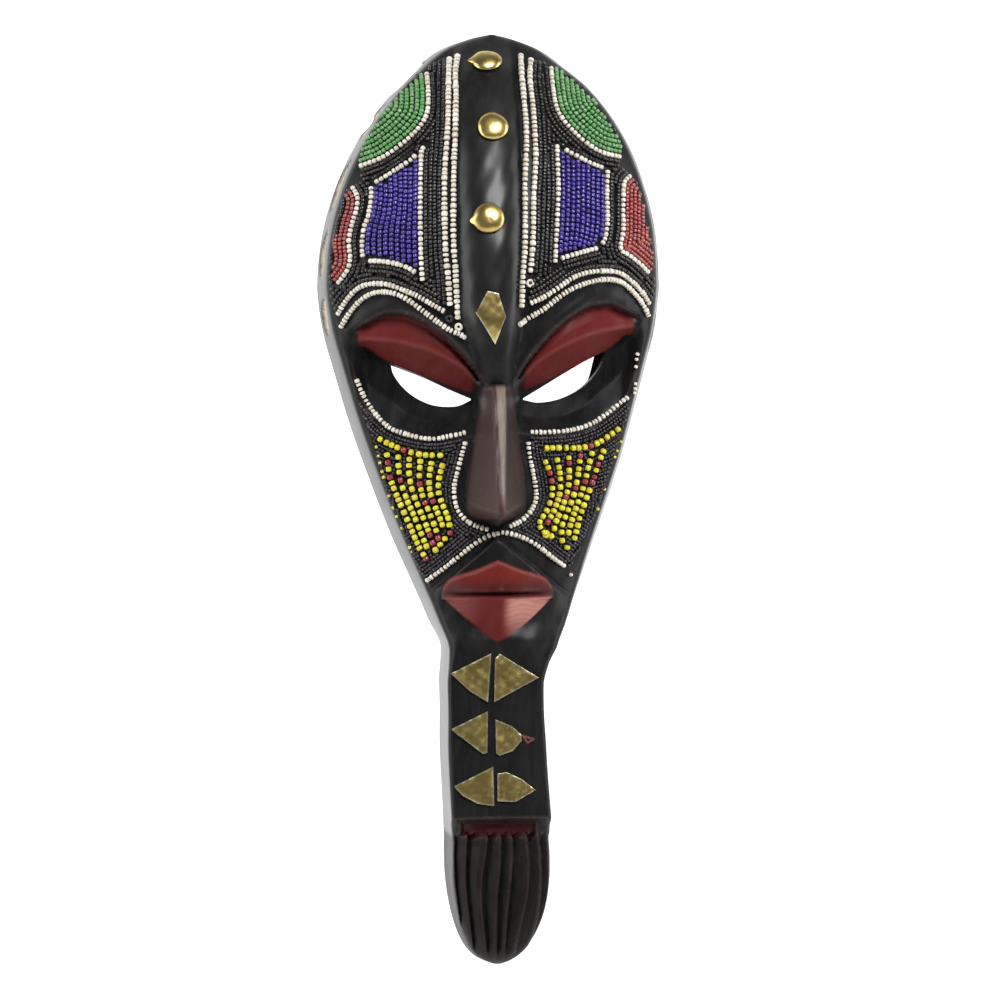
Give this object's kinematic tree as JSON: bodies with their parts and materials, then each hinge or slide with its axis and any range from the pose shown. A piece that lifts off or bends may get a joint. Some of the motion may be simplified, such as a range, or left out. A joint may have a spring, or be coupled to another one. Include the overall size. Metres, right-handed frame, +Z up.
{
  "type": "carved wooden mask",
  "caption": "Long carved wooden wall mask with slotted eyes, a raised crest and a fluted beard, trimmed with rows of glass beads and beaten brass, with a ring hanger at the back.",
  "frame": {"origin": "middle of the crown on the flat back that lies against the wall", "axes": "+Z up along the mask, +Y out of the back into the wall, the face looks towards -Y, +X to the viewer's right"},
  "size_m": [0.1481, 0.0655, 0.4],
  "materials": {
    "wood": "black painted wood, semi-gloss, worn, with maroon lids and lips and a brown nose",
    "white_bead": "opaque cream glass seed beads",
    "black_bead": "opaque black glass seed beads set in black mastic",
    "green_bead": "opaque green glass seed beads",
    "blue_bead": "opaque blue-violet glass seed beads",
    "red_bead": "opaque coral red glass seed beads",
    "yellow_bead": "opaque yellow glass beads with some wine red ones",
    "brass": "beaten brass sheet, tarnished",
    "steel": "dull zinc-plated steel"
  },
  "bodies": {
    "mask": {"mask_body": "wood", "brass_boss_1": "brass", "brass_boss_2": "brass", "brass_boss_3": "brass", "brass_lozenge": "brass", "brass_triangle_1": "brass", "brass_triangle_2": "brass", "brass_triangle_3": "brass", "brass_triangle_4": "brass", "brass_triangle_5": "brass", "brass_triangle_6": "brass", "crest_strand_left_outer": "white_bead", "crest_strand_left_inner": "white_bead", "brow_strand_left_upper": "white_bead", "brow_strand_left_lower": "white_bead", "eye_strand_left": "white_bead", "nose_strand_left": "white_bead", "green_border_left": "white_bead", "red_border_left": "white_bead", "blue_border_left": "white_bead", "crest_strand_right_outer": "white_bead", "crest_strand_right_inner": "white_bead", "brow_strand_right_upper": "white_bead", "brow_strand_right_lower": "white_bead", "eye_strand_right": "white_bead", "nose_strand_right": "white_bead", "green_border_right": "white_bead", "red_border_right": "white_bead", "blue_border_right": "white_bead", "lip_strand": "white_bead", "green_fan_left": "green_bead", "blue_panel_left": "blue_bead", "red_field_left": "red_bead", "crown_field_left": "black_bead", "yellow_field_left": "yellow_bead", "cheek_field_left": "black_bead", "green_fan_right": "green_bead", "blue_panel_right": "blue_bead", "red_field_right": "red_bead", "crown_field_right": "black_bead", "yellow_field_right": "yellow_bead", "cheek_field_right": "black_bead", "hanger_strap": "steel", "hanger_screw_1": "steel", "hanger_screw_2": "steel"},
    "ring": {"hanging_ring": "steel"}
  },
  "joints": [
    {"name": "ring_swing", "type": "hinge", "parent": "mask", "child": "ring", "pos_m": [0, -0.0034, -0.032], "axis": [1, 0, 0], "range_deg": [0, 120]}
  ]
}
